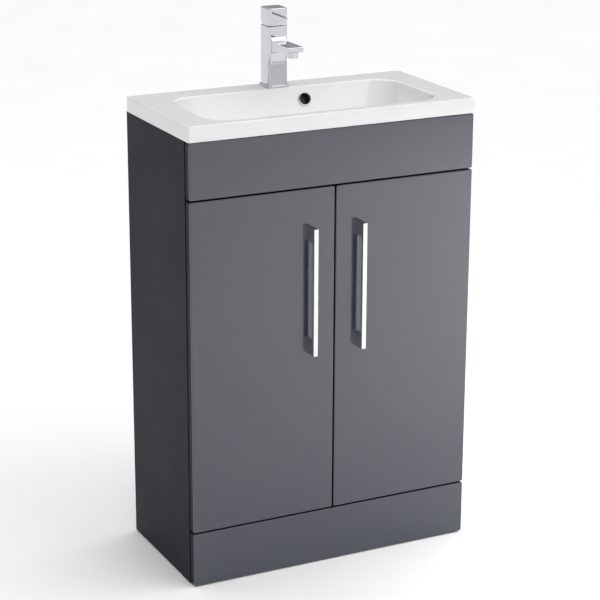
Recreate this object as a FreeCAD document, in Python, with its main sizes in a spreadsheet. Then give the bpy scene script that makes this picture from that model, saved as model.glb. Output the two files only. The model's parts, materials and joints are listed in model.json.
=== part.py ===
import FreeCAD, Part
import math
import os

import Sketcher
from FreeCAD import Vector

# Floor-standing bathroom vanity cabinet with two doors, a slim basin and a single-lever tap.
# Millimetres, +Z up, the doors face -Y. The origin is on the floor, in the middle of the whole
# depth with the handles, so the back of the cabinet stands at half of that depth.

DIMENSIONS = {
    # the whole cabinet
    "width": 600, "depth": 300, "height": 910, "rim": 30, "board": 18, "glide": 3,
    "gap": 3, "standoff": 2, "plinth_top": 110.5, "door_top": 768.5, "edge_round": 2, "reveal": 1,
    # carcass boards
    "bottom_top": 124, "front_rail_low": 742, "front_rail_high": 792,
    "back_rail_low": 752, "back_rail_high": 842, "low_rail_high": 224, "plinth_rail_low": 26,
    "plinth_rail_high": 106, "shelf_low": 430, "shelf_thick": 16, "shelf_front": -90,
    "wall_hole_x": 200, "wall_hole_r": 4.5, "wall_hole_z": 797,
    # handles
    "handle_x": 52, "handle_low": 443, "handle_length": 252, "handle_wide": 9, "bar_thick": 7,
    "handle_out": 24, "post_tall": 28, "handle_screw_r": 2,
    # concealed hinges, measured inboard from the side's outer face and back from the door's front
    "hinge_low": 205, "hinge_high": 677, "cup_in": 21.5, "cup_r": 17.5, "cup_deep": 12,
    "cup_wall": 0.8, "door_pin_in": 9, "door_pin_back": 12, "arm_pin_in": 25, "arm_pin_back": 28,
    "knee_in": 21, "knee_back": 10, "link_half": 1.4, "pin_r": 1.5, "link_tall": 8,
    # basin
    "bowl_half": 244, "bowl_front": -116, "bowl_back": 104, "bowl_corner": 55, "bowl_deep": 95,
    "bowl_slope": 36, "bowl_wall": 9, "waste_y": -6, "waste_r": 20.95, "waste_tail": 78,
    "overflow_x": 50, "overflow_down": 25, "overflow_r": 14, "plug_travel": 8,
    # tap
    "tap_y": 130, "column": 42, "flange": 48, "flange_tall": 5, "body_tall": 121,
    "tap_tall": 156, "head_gap": 1.5, "tilt_up": 12, "spout_wide": 32, "spout_reach": 77,
    "spout_top": 92, "spindle_r": 8.95, "tap_hole_r": 17.5, "inlet_r": 5, "stud_y": 139,
}


class Size:
    """A number together with the spreadsheet expression that gives it."""

    def __init__(self, value, text):
        self.value = float(value)
        self.text = text

    def join(self, sign, other, value):
        return Size(value, f"({self.text} {sign} {formula(other)})")

    def __add__(self, other):
        return self.join("+", other, self.value + number(other))

    def __sub__(self, other):
        return self.join("-", other, self.value - number(other))

    def __mul__(self, other):
        return self.join("*", other, self.value * number(other))

    def __truediv__(self, other):
        return self.join("/", other, self.value / number(other))

    def __radd__(self, other):
        return Size(number(other), formula(other)) + self

    def __rsub__(self, other):
        return Size(number(other), formula(other)) - self

    def __rmul__(self, other):
        return self * other

    def __neg__(self):
        return self * -1


def number(size):
    return size.value if isinstance(size, Size) else float(size)


def formula(size):
    return size.text if isinstance(size, Size) else repr(float(size))


def bind(thing, prop, size):
    thing.setExpression(prop, formula(size))


doc = FreeCAD.newDocument("vanity_cabinet")
sheet = doc.addObject("Spreadsheet::Sheet", "Dims")
for row, (alias, value) in enumerate(DIMENSIONS.items(), start=1):
    sheet.set(f"A{row}", alias)
    sheet.set(f"B{row}", str(value))
    sheet.setAlias(f"B{row}", alias)
doc.recompute()


class Sizes:
    """Every driving dimension by its name."""


S = Sizes()
for alias, value in DIMENSIONS.items():
    setattr(S, alias, Size(value, f"Dims.{alias}"))

BACK = (S.depth + S.handle_out) / 2
FACE = BACK - S.depth
CARCASS = FACE + S.board + S.standoff
SIDE = S.width / 2
INNER = SIDE - S.board
CABINET_TOP = S.height - S.rim
DOOR_LOW = S.plinth_top + S.gap
DOOR_BACK = FACE + S.board

pieces = []


def keep(piece, label):
    piece.Label = label
    pieces.append(piece)
    return piece


# ---------------------------------------------------------------- primitives and booleans
def box(name, low, high):
    """A box between two corners."""
    made = doc.addObject("Part::Box", name)
    for prop, axis, a, b in zip(("Length", "Width", "Height"), "xyz", low, high):
        bind(made, prop, b - a)
        bind(made, f"Placement.Base.{axis}", a)
    return made


TURNS = {"z": (Vector(0, 0, 1), 0), "x": (Vector(0, 1, 0), 90), "y": (Vector(1, 0, 0), -90)}


def rod(name, radius, start, length, axis="z"):
    """A cylinder from its start point along +X, +Y or +Z."""
    made = doc.addObject("Part::Cylinder", name)
    turn_axis, angle = TURNS[axis]
    made.Placement = FreeCAD.Placement(Vector(), FreeCAD.Rotation(turn_axis, angle))
    bind(made, "Radius", radius)
    bind(made, "Height", length)
    for letter, place in zip("xyz", start):
        bind(made, f"Placement.Base.{letter}", place)
    return made


def hexagon(name, across, start, length, axis="z"):
    """A hexagonal prism with the given size across its flats."""
    made = doc.addObject("Part::Prism", name)
    turn_axis, angle = TURNS[axis]
    made.Placement = FreeCAD.Placement(Vector(), FreeCAD.Rotation(turn_axis, angle))
    made.Polygon = 6
    bind(made, "Circumradius", across / math.sqrt(3))
    bind(made, "Height", length)
    for letter, place in zip("xyz", start):
        bind(made, f"Placement.Base.{letter}", place)
    return made


def fuse(name, shapes):
    made = doc.addObject("Part::MultiFuse", name)
    made.Shapes = shapes
    return made


def group(name, shapes):
    """Identical pieces that stay separate solids of one node."""
    made = doc.addObject("Part::Compound", name)
    made.Links = shapes
    return made


def cut(name, base, tools):
    made = doc.addObject("Part::Cut", name)
    made.Base = base
    made.Tool = tools[0] if len(tools) == 1 else fuse(name + "_tools", tools)
    return made


# ---------------------------------------------------------------- PartDesign bodies
def body(name):
    return doc.addObject("PartDesign::Body", name)


def sketch_on(owner, name, plane, offset=0):
    """A sketch on one of the body's own origin planes, moved along the plane's normal."""
    sketch = owner.newObject("Sketcher::SketchObject", name)
    origin_plane = next(f for f in owner.Origin.OriginFeatures if f.Role == plane)
    sketch.AttachmentSupport = (origin_plane, "")
    sketch.MapMode = "FlatFace"
    bind(sketch, "AttachmentOffset.Base.z", offset)
    return sketch


def outline(sketch, points):
    """A closed polygon whose corners are tied to the spreadsheet."""
    count = len(points)
    first = sketch.GeometryCount
    for i in range(count):
        a = Vector(number(points[i][0]), number(points[i][1]))
        b = Vector(*[number(value) for value in points[(i + 1) % count]])
        sketch.addGeometry(Part.LineSegment(a, b))
    for i in range(count):
        line = first + i
        following = first + (i + 1) % count
        sketch.addConstraint(Sketcher.Constraint("Coincident", line, 2, following, 1))
    for i, point in enumerate(points):
        for kind, place in zip(("DistanceX", "DistanceY"), point):
            tie = Sketcher.Constraint(kind, -1, 1, first + i, 1, number(place))
            index = sketch.addConstraint(tie)
            sketch.setExpression(f"Constraints[{index}]", formula(place))


def rectangle(sketch, x0, x1, y0, y1):
    outline(sketch, [(x0, y0), (x1, y0), (x1, y1), (x0, y1)])


def circle(sketch, x, y, radius):
    index = sketch.addGeometry(Part.Circle(Vector(number(x), number(y)), Vector(0, 0, 1), number(radius)))
    ties = [Sketcher.Constraint("DistanceX", -1, 1, index, 3, number(x)),
            Sketcher.Constraint("DistanceY", -1, 1, index, 3, number(y)),
            Sketcher.Constraint("Radius", index, number(radius))]
    for tie, size in zip(ties, (x, y, radius)):
        place = sketch.addConstraint(tie)
        sketch.setExpression(f"Constraints[{place}]", formula(size))


def settle(made):
    """Recomputes the document and makes sure that this feature worked."""
    doc.recompute()
    if "Invalid" in made.State or "Error" in made.State or made.Shape.isNull():
        raise RuntimeError(f"{made.Name} failed")
    return made


def pad(owner, sketch, name, length, middle=False, reverse=False):
    made = owner.newObject("PartDesign::Pad", name)
    made.Profile = sketch
    bind(made, "Length", length)
    made.SideType = "Symmetric" if middle else "One side"
    made.Reversed = reverse
    return settle(made)


def pocket(owner, sketch, name, length=None, reverse=False):
    """A cut that must take material away; with no length it goes right through both ways."""
    doc.recompute()
    before = owner.Shape.Volume
    made = owner.newObject("PartDesign::Pocket", name)
    made.Profile = sketch
    made.Reversed = reverse
    if length is None:
        made.Type = "ThroughAll"
        made.SideType = "Symmetric"
    else:
        bind(made, "Length", length)
    settle(made)
    if made.Shape.Volume >= before - 1e-6:
        raise RuntimeError(f"{name} cuts nothing")
    return made


def edges_where(feature, wanted):
    """The names of the feature's edges whose mid point and direction pass the test."""
    names = []
    for i, edge in enumerate(feature.Shape.Edges, start=1):
        if edge.Degenerated:
            continue
        middle = edge.valueAt((edge.FirstParameter + edge.LastParameter) / 2)
        way = edge.tangentAt((edge.FirstParameter + edge.LastParameter) / 2)
        if wanted(middle, way):
            names.append(f"Edge{i}")
    return names


def fillet(owner, base, name, radius, wanted):
    made = owner.newObject("PartDesign::Fillet", name)
    made.Base = (base, edges_where(base, wanted))
    bind(made, "Radius", radius)
    settle(made)
    return made


def board(name, low, high, rounding=None, wanted=None):
    """A flat board between two corners, its listed edges rounded."""
    owner = body(name)
    sketch = sketch_on(owner, name + "_outline", "XY_Plane", low[2])
    rectangle(sketch, low[0], high[0], low[1], high[1])
    last = pad(owner, sketch, name + "_pad", high[2] - low[2])
    if rounding is not None:
        fillet(owner, last, name + "_rounding", rounding, wanted)
    return owner


def span(a, b):
    """The two values in rising order."""
    return (a, b) if number(a) < number(b) else (b, a)


def box_between(name, xs, ys, zs):
    xs, ys, zs = span(*xs), span(*ys), span(*zs)
    return box(name, (xs[0], ys[0], zs[0]), (xs[1], ys[1], zs[1]))


def rod_between(name, radius, ends, a, b, axis):
    """A cylinder along one axis between two values; the other two come from ends, in order."""
    low, high = span(a, b)
    place = list(ends)
    place.insert("xyz".index(axis), low)
    return rod(name, radius, place, high - low, axis)


# ---------------------------------------------------------------- carcass fittings, by position
CAM_IN = 34
CAM_R = 7.5
CAM_DEEP = 12.5
BOLT_R = 3
BOLT_BITE = 10
RAIL_MIDDLE = (CARCASS + CARCASS + S.board) / 2
BACK_MIDDLE = BACK - S.board / 2
BOARD_ENDS = [                      # each cam: y, z, the board face it is let into, its direction
    ("bottom_front", Size(-60, "-60"), S.bottom_top - S.board / 2, "z"),
    ("bottom_back", Size(100, "100"), S.bottom_top - S.board / 2, "z"),
    ("front_rail", RAIL_MIDDLE, (S.front_rail_low + S.front_rail_high) / 2, "front"),
    ("plinth_rail", RAIL_MIDDLE, (S.plinth_rail_low + S.plinth_rail_high) / 2, "front"),
    ("back_rail", BACK_MIDDLE, S.wall_hole_z, "back"),
    ("low_rail", BACK_MIDDLE, (S.bottom_top + S.low_rail_high) / 2, "back"),
]


def cams_and_bolts():
    """Cam discs let into the boards, and the bolts that they pull in from the sides."""
    cams = []
    bolts = []
    for hand in (-1, 1):
        word = "left" if hand < 0 else "right"
        for name, y, z, way in BOARD_ENDS:
            x = hand * (INNER - CAM_IN)
            label = f"{word}_{name}"
            if way == "z":
                low = S.bottom_top - S.board
                cams.append(rod(label + "_cam", CAM_R, (x, y, low), CAM_DEEP))
            elif way == "front":
                back = CARCASS + S.board
                cams.append(rod(label + "_cam", CAM_R, (x, back - CAM_DEEP, z), CAM_DEEP, "y"))
            else:
                cams.append(rod(label + "_cam", CAM_R, (x, BACK - S.board, z), CAM_DEEP, "y"))
            ends = (hand * (INNER + BOLT_BITE), hand * (INNER - CAM_IN + CAM_R + 0.2))
            bolts.append(rod_between(label + "_bolt", BOLT_R, (y, z), *ends, "x"))
    return cams, bolts


PIN_R = 2.5
PIN_BITE = 8


def pins_for_shelf():
    pins = []
    for hand in (-1, 1):
        for y in (-60, 110):
            ends = (hand * (INNER - PIN_BITE), hand * (INNER + PIN_BITE))
            name = f"shelf_pin_{'left' if hand < 0 else 'right'}_{y + 60}"
            pins.append(rod_between(name, PIN_R, (y, S.shelf_low - PIN_R), *ends, "x"))
    return pins


BRACKET_LEG = 30
BRACKET_THICK = 2
BRACKETS = {"fascia": (800, 824), "plinth": (6, 22)}
SCREW_R = 1.75
SCREW_HEAD_R = 3.6
SCREW_HEAD = 2
SCREW_LENGTH = 12


def brackets_and_screws():
    """Steel angles that hold the fascia and the plinth board to the sides."""
    brackets = []
    screws = []
    for hand in (-1, 1):
        for name, (low, high) in BRACKETS.items():
            label = f"{'left' if hand < 0 else 'right'}_{name}"
            z = (low + high) / 2
            inside = hand * (INNER - BRACKET_THICK)
            front_leg = box_between(label + "_front_leg", (hand * INNER, hand * (INNER - BRACKET_LEG)),
                                    (DOOR_BACK, CARCASS), (low, high))
            side_leg = box_between(label + "_side_leg", (hand * INNER, inside),
                                   (DOOR_BACK, CARCASS + BRACKET_LEG), (low, high))
            pair = []
            into_side = (CARCASS + BRACKET_LEG - 8, z)
            pair.append(fuse(label + "_side_screw", [
                rod_between(label + "_side_shank", SCREW_R, into_side, inside,
                            hand * (INNER + SCREW_LENGTH - BRACKET_THICK), "x"),
                rod_between(label + "_side_head", SCREW_HEAD_R, into_side, inside,
                            hand * (INNER - BRACKET_THICK - SCREW_HEAD), "x")]))
            into_panel = (hand * (INNER - BRACKET_LEG + 10), z)
            pair.append(fuse(label + "_panel_screw", [
                rod_between(label + "_panel_shank", SCREW_R, into_panel, CARCASS,
                            CARCASS - SCREW_LENGTH, "y"),
                rod_between(label + "_panel_head", SCREW_HEAD_R, into_panel, CARCASS,
                            CARCASS + SCREW_HEAD, "y")]))
            screws += pair
            brackets.append(cut(label + "_bracket", fuse(label + "_angle", [front_leg, side_leg]), pair))
    return brackets, screws


SPACERS = [("fascia", 782), ("plinth", 66)]
SPACER_R = 6
RAIL_SCREW_R = 2
RAIL_SCREW_HEAD_R = 4
RAIL_SCREW_HEAD = 2.5
RAIL_SCREW_LENGTH = 32


def spacers_and_rail_screws():
    """Spacers in the joint behind the fascia and plinth board, each with its screw."""
    spacers = []
    screws = []
    for hand in (-1, 1):
        for name, z in SPACERS:
            label = f"{'left' if hand < 0 else 'right'}_{name}"
            x = hand * S.width / 4
            back = CARCASS + S.board
            screws.append(fuse(label + "_rail_screw", [
                rod_between(label + "_rail_shank", RAIL_SCREW_R, (x, z), back,
                            back - RAIL_SCREW_LENGTH, "y"),
                rod_between(label + "_rail_head", RAIL_SCREW_HEAD_R, (x, z), back,
                            back + RAIL_SCREW_HEAD, "y")]))
            disc = rod_between(label + "_disc", SPACER_R, (x, z), DOOR_BACK, CARCASS, "y")
            spacers.append(cut(label + "_spacer", disc, [screws[-1]]))
    return spacers, screws


# ---------------------------------------------------------------- concealed hinges
HINGE_HEIGHTS = {"low": S.hinge_low, "high": S.hinge_high}
EAR = 2
EAR_PLAY = 0.3
BOSS_R = 2.6
FLANGE_THICK = 1.2
FLANGE_R = 18.5
PLATE_BACK = 57
PLATE_THICK = 1.5
SYSTEM_PITCH = 16
EURO_R = 2.5
EURO_HEAD_R = 4
EURO_LENGTH = 11
CUP_SCREW_IN = 9.5
CUP_SCREW_UP = 22.5
CUP_TAB_HALF = 28
PIN_PLAY = 0.05
PLATE_HALF_WIDE = 8
PLATE_HALF_TALL = 24


def hinge_place(hand):
    """Turns an inboard and a backward distance into x and y."""
    return lambda inboard, back: (hand * (SIDE - inboard), FACE + back)


def strip(name, start, end, half, low, high):
    """An upright bar of rectangular section between two points of the plan, with round ends."""
    ax, ay = start
    bx, by = end
    run = math.hypot(number(bx) - number(ax), number(by) - number(ay))
    angle = math.degrees(math.atan2(number(by) - number(ay), number(bx) - number(ax)))
    bar = doc.addObject("Part::Box", name + "_bar")
    bar.Length = run
    bind(bar, "Width", 2 * half)
    bind(bar, "Height", high - low)
    turn = FreeCAD.Rotation(Vector(0, 0, 1), angle)
    corner = turn.multVec(Vector(0, -number(half), 0)) + Vector(number(ax), number(ay), number(low))
    bar.Placement = FreeCAD.Placement(corner, turn)
    bind(bar, "Placement.Base.z", low)
    ends = [rod(f"{name}_end_{i}", half, (x, y, low), high - low) for i, (x, y) in enumerate((start, end))]
    return [bar] + ends


def hinge(hand, word, which, z):
    """One concealed hinge: cup, link, arm, plate, two pins and their screws."""
    at = hinge_place(hand)
    label = f"{word}_{which}"
    cup_x, cup_y = at(S.cup_in, S.board)
    door_pin = at(S.door_pin_in, S.door_pin_back)
    arm_pin = at(S.arm_pin_in, S.arm_pin_back)
    knee = at(S.knee_in, S.knee_back)
    half_tall = S.link_tall / 2
    ear_in = half_tall + EAR_PLAY
    ear_out = ear_in + EAR

    bore = rod_between(label + "_bore", S.cup_r, (cup_x, z), cup_y, cup_y - S.cup_deep, "y")
    shell_inside = rod_between(label + "_inside", S.cup_r - S.cup_wall, (cup_x, z),
                               cup_y - S.cup_deep + S.cup_wall, cup_y + 2, "y")
    shell = rod_between(label + "_shell", S.cup_r, (cup_x, z), cup_y, cup_y - S.cup_deep, "y")
    disc = rod_between(label + "_flange_disc", FLANGE_R, (cup_x, z), cup_y, cup_y + FLANGE_THICK, "y")
    tab_x = (at(S.cup_in - 4, 0)[0], at(S.cup_in + 14, 0)[0])
    tab = box_between(label + "_flange_tab", tab_x, (cup_y, cup_y + FLANGE_THICK),
                      (z - CUP_TAB_HALF, z + CUP_TAB_HALF))
    cup_screws = []
    for up in (-1, 1):
        place = (at(S.cup_in + CUP_SCREW_IN, 0)[0], z + up * CUP_SCREW_UP)
        cup_screws.append(fuse(f"{label}_cup_screw_{up + 1}", [
            rod_between(f"{label}_cup_shank_{up + 1}", SCREW_R, place, cup_y + FLANGE_THICK,
                        cup_y - SCREW_LENGTH + FLANGE_THICK, "y"),
            rod_between(f"{label}_cup_head_{up + 1}", SCREW_HEAD_R, place, cup_y + FLANGE_THICK,
                        cup_y + FLANGE_THICK + SCREW_HEAD, "y")]))
    hollow = cut(label + "_cup_hollow", fuse(label + "_cup_solid", [shell, disc, tab]),
                 [shell_inside] + cup_screws)
    door_pin_rod = rod(label + "_door_pin", S.pin_r, (*door_pin, z - ear_out), 2 * ear_out)
    ears = []
    for up in (-1, 1):
        ear_z = (z + up * ear_in, z + up * ear_out)
        ears.append(box_between(f"{label}_ear_{up + 1}", (at(S.door_pin_in - BOSS_R, 0)[0],
                                                         at(S.door_pin_in + BOSS_R, 0)[0]),
                                (cup_y - S.cup_deep, FACE + S.door_pin_back + BOSS_R), ear_z))
    eared = cut(label + "_ears", fuse(label + "_ear_pair", ears), [door_pin_rod])
    cup = fuse(label + "_cup", [hollow, eared])

    arm_pin_rod = rod(label + "_arm_pin", S.pin_r, (*arm_pin, z - ear_out), 2 * ear_out)
    low, high = z - half_tall, z + half_tall
    pieces_of_link = strip(label + "_link_a", door_pin, knee, S.link_half, low, high)
    pieces_of_link += strip(label + "_link_b", knee, arm_pin, S.link_half, low, high)
    for end, place in (("door", door_pin), ("arm", arm_pin)):
        pieces_of_link.append(rod(f"{label}_{end}_boss", BOSS_R, (*place, low), high - low))
    holes = [rod(f"{label}_{end}_hole", S.pin_r + PIN_PLAY, (*place, low - 1), high - low + 2)
             for end, place in (("door", door_pin), ("arm", arm_pin))]
    link = cut(label + "_link", fuse(label + "_link_solid", pieces_of_link), holes)

    inner = (at(S.arm_pin_in - BOSS_R, 0)[0], at(S.arm_pin_in + BOSS_R, 0)[0])
    start = FACE + S.arm_pin_back
    cheeks = [box_between(f"{label}_cheek_{up + 1}", inner, (start - BOSS_R, start + 8),
                          (z + up * ear_in, z + up * ear_out)) for up in (-1, 1)]
    beam = box_between(label + "_beam", inner, (start + 6, FACE + PLATE_BACK + 34),
                       (z - ear_out, z + ear_out))
    arm = cut(label + "_arm", fuse(label + "_arm_solid", cheeks + [beam]), [arm_pin_rod])

    plate_x = (at(S.board, 0)[0], at(S.board + PLATE_THICK, 0)[0])
    plate_front = FACE + PLATE_BACK - PLATE_HALF_WIDE
    plate = box_between(label + "_plate_sheet", plate_x, (plate_front, plate_front + 2 * PLATE_HALF_WIDE),
                        (z - PLATE_HALF_TALL, z + PLATE_HALF_TALL))
    rib_x = (plate_x[0], inner[0])
    rib = box_between(label + "_plate_rib", rib_x, (plate_front, plate_front + 40),
                      (z - ear_out, z + ear_out))
    plate_screws = []
    for up in (-1, 1):
        place = (FACE + PLATE_BACK, z + up * SYSTEM_PITCH)
        plate_screws.append(fuse(f"{label}_plate_screw_{up + 1}", [
            rod_between(f"{label}_plate_shank_{up + 1}", EURO_R, place, plate_x[1],
                        at(S.board + PLATE_THICK - EURO_LENGTH, 0)[0], "x"),
            rod_between(f"{label}_plate_head_{up + 1}", EURO_HEAD_R, place, plate_x[1],
                        at(S.board + PLATE_THICK + SCREW_HEAD, 0)[0], "x")]))
    mounted = cut(label + "_plate", fuse(label + "_plate_solid", [plate, rib]), plate_screws)
    return {"bore": bore, "cup": cup, "cup_screws": cup_screws, "door_pin": door_pin_rod,
            "link": link, "arm": arm, "arm_pin": arm_pin_rod, "plate": mounted,
            "plate_screws": plate_screws}


# ---------------------------------------------------------------- doors and handles
BUMPER_R = 4
BUMPER_THICK = 1.6
HANDLE_BEND = 6
HANDLE_EASE = 0.8
HANDLE_SCREW_HEAD_R = 4
HANDLE_SCREW_HEAD = 2.5


def on_face(middle):
    return middle.y < number(FACE) + 0.1


def handle(word, x):
    """A square bar on two posts, bent from one profile."""
    owner = body(f"{word}_handle_body")
    out = FACE - S.handle_out
    low, high = S.handle_low, S.handle_low + S.handle_length
    inside = out + S.bar_thick
    profile = sketch_on(owner, f"{word}_handle_profile", "YZ_Plane", x)
    outline(profile, [(FACE, low), (out, low), (out, high), (FACE, high), (FACE, high - S.post_tall),
                      (inside, high - S.post_tall), (inside, low + S.post_tall),
                      (FACE, low + S.post_tall)])
    solid = pad(owner, profile, f"{word}_handle_pad", S.handle_wide, middle=True)
    corner = fillet(owner, solid, f"{word}_handle_bend", HANDLE_BEND,
                    lambda m, way: abs(way.x) > 0.9 and abs(m.y - number(inside)) < 0.1)
    fillet(owner, corner, f"{word}_handle_ease", HANDLE_EASE,
           lambda m, way: m.y < number(out) + 0.1)
    return owner


def door(hand, word):
    """One door with its handle, bumpers, cups, links, arms, plates and screws."""
    inner, outer = span(hand * S.gap / 2, hand * (SIDE - S.reveal))
    blank = board(f"{word}_door_blank", (inner, FACE, DOOR_LOW), (outer, DOOR_BACK, S.door_top),
                  S.edge_round, lambda m, way: on_face(m))
    hinges = [hinge(hand, word, which, z) for which, z in HINGE_HEIGHTS.items()]
    x = hand * S.handle_x
    screws = []
    for end in (0, 1):
        z = S.handle_low + S.post_tall / 2 + end * (S.handle_length - S.post_tall)
        screws.append(fuse(f"{word}_handle_screw_{end}", [
            rod_between(f"{word}_handle_shank_{end}", S.handle_screw_r, (x, z), DOOR_BACK,
                        FACE - S.handle_out / 2, "y"),
            rod_between(f"{word}_handle_head_{end}", HANDLE_SCREW_HEAD_R, (x, z), DOOR_BACK,
                        DOOR_BACK + HANDLE_SCREW_HEAD, "y")]))
    cup_screws = [screw for each in hinges for screw in each["cup_screws"]]
    keep(cut(f"{word}_door_cut", blank, [each["bore"] for each in hinges] + screws + cup_screws),
         f"{word}_door")
    keep(cut(f"{word}_handle_cut", handle(word, x), screws), f"{word}_handle")
    keep(group(f"{word}_handle_screw_set", screws), f"{word}_handle_screws")
    keep(group(f"{word}_cup_set", [each["cup"] for each in hinges]), f"{word}_hinge_cups")
    keep(group(f"{word}_cup_screw_set", cup_screws), f"{word}_cup_screws")
    keep(group(f"{word}_door_pin_set", [each["door_pin"] for each in hinges]), f"{word}_cup_pins")
    keep(group(f"{word}_link_set", [each["link"] for each in hinges]), f"{word}_hinge_links")
    keep(group(f"{word}_arm_set", [each["arm"] for each in hinges]), f"{word}_hinge_arms")
    keep(group(f"{word}_arm_pin_set", [each["arm_pin"] for each in hinges]), f"{word}_arm_pins")
    keep(group(f"{word}_plate_set", [each["plate"] for each in hinges]), f"{word}_hinge_plates")
    plate_screws = [screw for each in hinges for screw in each["plate_screws"]]
    keep(group(f"{word}_plate_screw_set", plate_screws), f"{word}_plate_screws")
    bumpers = [rod_between(f"{word}_bumper_{i}", BUMPER_R, (hand * (S.gap / 2 + 12), z), DOOR_BACK,
                           DOOR_BACK + BUMPER_THICK, "y")
               for i, z in enumerate((DOOR_LOW + 6, S.door_top - 8))]
    keep(group(f"{word}_bumper_set", bumpers), f"{word}_door_bumpers")
    return plate_screws


# ---------------------------------------------------------------- carcass
def carcass(plate_screws):
    cams, bolts = cams_and_bolts()
    pins = pins_for_shelf()
    brackets, bracket_screws = brackets_and_screws()
    spacers, rail_screws = spacers_and_rail_screws()
    tools = {"left": pins[:2] + plate_screws["left"], "right": pins[2:] + plate_screws["right"]}
    for hand, word in ((-1, "left"), (1, "right")):
        outer, inner = hand * SIDE, hand * INNER
        xs = span(outer, inner)
        blank = board(f"{word}_side_blank", (xs[0], CARCASS, S.glide), (xs[1], BACK, CABINET_TOP), 1,
                      lambda m, way, x=number(outer): abs(way.z) > 0.9 and abs(m.x - x) < 0.1)
        own_bolts = [b for b in bolts if b.Name.startswith(word)]
        own_screws = [s for s in bracket_screws if s.Name.startswith(word)]
        keep(cut(f"{word}_side_cut", blank, tools[word] + own_bolts + own_screws), f"{word}_side_panel")

    back_y = BACK - S.board
    front = (CARCASS, CARCASS + S.board)
    keep(cut("bottom_cut", board("bottom_blank", (-INNER, CARCASS, S.bottom_top - S.board),
                                 (INNER, back_y, S.bottom_top)), cams + bolts), "bottom_panel")
    keep(cut("front_rail_cut", board("front_rail_blank", (-INNER, front[0], S.front_rail_low),
                                     (INNER, front[1], S.front_rail_high)),
             cams + bolts + rail_screws), "front_rail")
    keep(cut("plinth_rail_cut", board("plinth_rail_blank", (-INNER, front[0], S.plinth_rail_low),
                                      (INNER, front[1], S.plinth_rail_high)),
             cams + bolts + rail_screws), "plinth_rail")
    wall_holes = [rod_between(f"wall_hole_{hand + 1}", S.wall_hole_r, (hand * S.wall_hole_x, S.wall_hole_z),
                              back_y - 1, BACK + 1, "y") for hand in (-1, 1)]
    keep(cut("back_rail_cut", board("back_rail_blank", (-INNER, back_y, S.back_rail_low),
                                    (INNER, BACK, S.back_rail_high)),
             cams + bolts + wall_holes), "back_top_rail")
    keep(cut("low_rail_cut", board("low_rail_blank", (-INNER, back_y, S.bottom_top - S.board),
                                   (INNER, BACK, S.low_rail_high)), cams + bolts), "back_low_rail")
    keep(board("shelf_board", (-INNER + S.reveal, S.shelf_front, S.shelf_low),
               (INNER - S.reveal, back_y - 4, S.shelf_low + S.shelf_thick), 1,
               lambda m, way: abs(way.x) > 0.9 and m.y < number(S.shelf_front) + 0.1), "shelf")
    keep(group("pin_set", pins), "shelf_pins")
    keep(group("cam_set", cams), "cam_fittings")
    keep(group("bolt_set", bolts), "cam_bolts")
    keep(group("bracket_set", brackets), "panel_brackets")
    keep(group("bracket_screw_set", bracket_screws), "bracket_screws")
    keep(group("spacer_set", spacers), "panel_spacers")
    keep(group("rail_screw_set", rail_screws), "rail_screws")
    glides = []
    for hand in (-1, 1):
        for y0, y1 in ((CARCASS + 4, CARCASS + 44), (BACK - 44, BACK - 4)):
            name = f"glide_{'left' if hand < 0 else 'right'}_{'front' if number(y0) < 0 else 'back'}"
            glides.append(box_between(name, (hand * (SIDE - 1.5), hand * (INNER + 1.5)), (y0, y1),
                                      (0, S.glide)))
    keep(group("glide_set", glides), "foot_glides")

    width = SIDE - S.reveal
    fixings = bracket_screws + rail_screws
    keep(cut("fascia_cut", board("fascia_blank", (-width, FACE, S.door_top + S.gap),
                                 (width, DOOR_BACK, CABINET_TOP - S.reveal), S.edge_round,
                                 lambda m, way: on_face(m)), fixings), "fascia_panel")
    keep(cut("plinth_cut", board("plinth_blank", (-width, FACE, S.glide),
                                 (width, DOOR_BACK, S.plinth_top), S.edge_round,
                                 lambda m, way: on_face(m)), fixings), "plinth_panel")


# ---------------------------------------------------------------- basin and waste
FLOOR = S.height - S.bowl_deep
UNDERSIDE = FLOOR - S.bowl_wall
RIM_ROUND = 2.5
BOWL_RIM_ROUND = 4
OVERFLOW_SLEEVE_R = S.overflow_r - 1.5
OVERFLOW_WALL = 1.2
WASTE_LIP = 2.5
WASTE_WALL = 3
SEAL_THICK = 3
WASTE_NUT_TALL = 9
WASTE_NUT_LOW = UNDERSIDE - SEAL_THICK - WASTE_NUT_TALL
RELIEF = 2
PLUG_STEM_R = 4


def frustum(owner, name, kind, top, bottom, top_z, bottom_z):
    """A loft between two level rectangles, added to or taken from the body."""
    sketches = []
    for part, rect, z in (("top", top, top_z), ("bottom", bottom, bottom_z)):
        sketch = sketch_on(owner, f"{name}_{part}", "XY_Plane", z)
        rectangle(sketch, *rect)
        sketches.append(sketch)
    doc.recompute()
    made = owner.newObject(f"PartDesign::{kind}Loft", name)
    made.Profile = sketches[0]
    made.Sections = [sketches[1]]
    made.Ruled = True
    return settle(made)


def corner_lines(top, bottom):
    """Picks the four sloping edges of a loft by where their middles lie."""
    def wanted(middle, way):
        near_x = any(abs(middle.x - number(top[i] + bottom[i]) / 2) < 1 for i in (0, 1))
        near_y = any(abs(middle.y - number(top[i] + bottom[i]) / 2) < 1 for i in (2, 3))
        return near_x and near_y
    return wanted


def level_at(z, reach_x, reach_y):
    """Picks the level edges at one height inside a rectangle about the bowl."""
    def wanted(middle, way):
        inside = abs(middle.x) < number(reach_x) and number(reach_y[0]) < middle.y < number(reach_y[1])
        return abs(middle.z - number(z)) < 0.05 and abs(way.z) < 0.01 and inside
    return wanted


def grown(rect, amount):
    """A rectangle made larger by the same amount on each side."""
    return tuple(value + side * amount for value, side in zip(rect, (-1, 1, -1, 1)))


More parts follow.
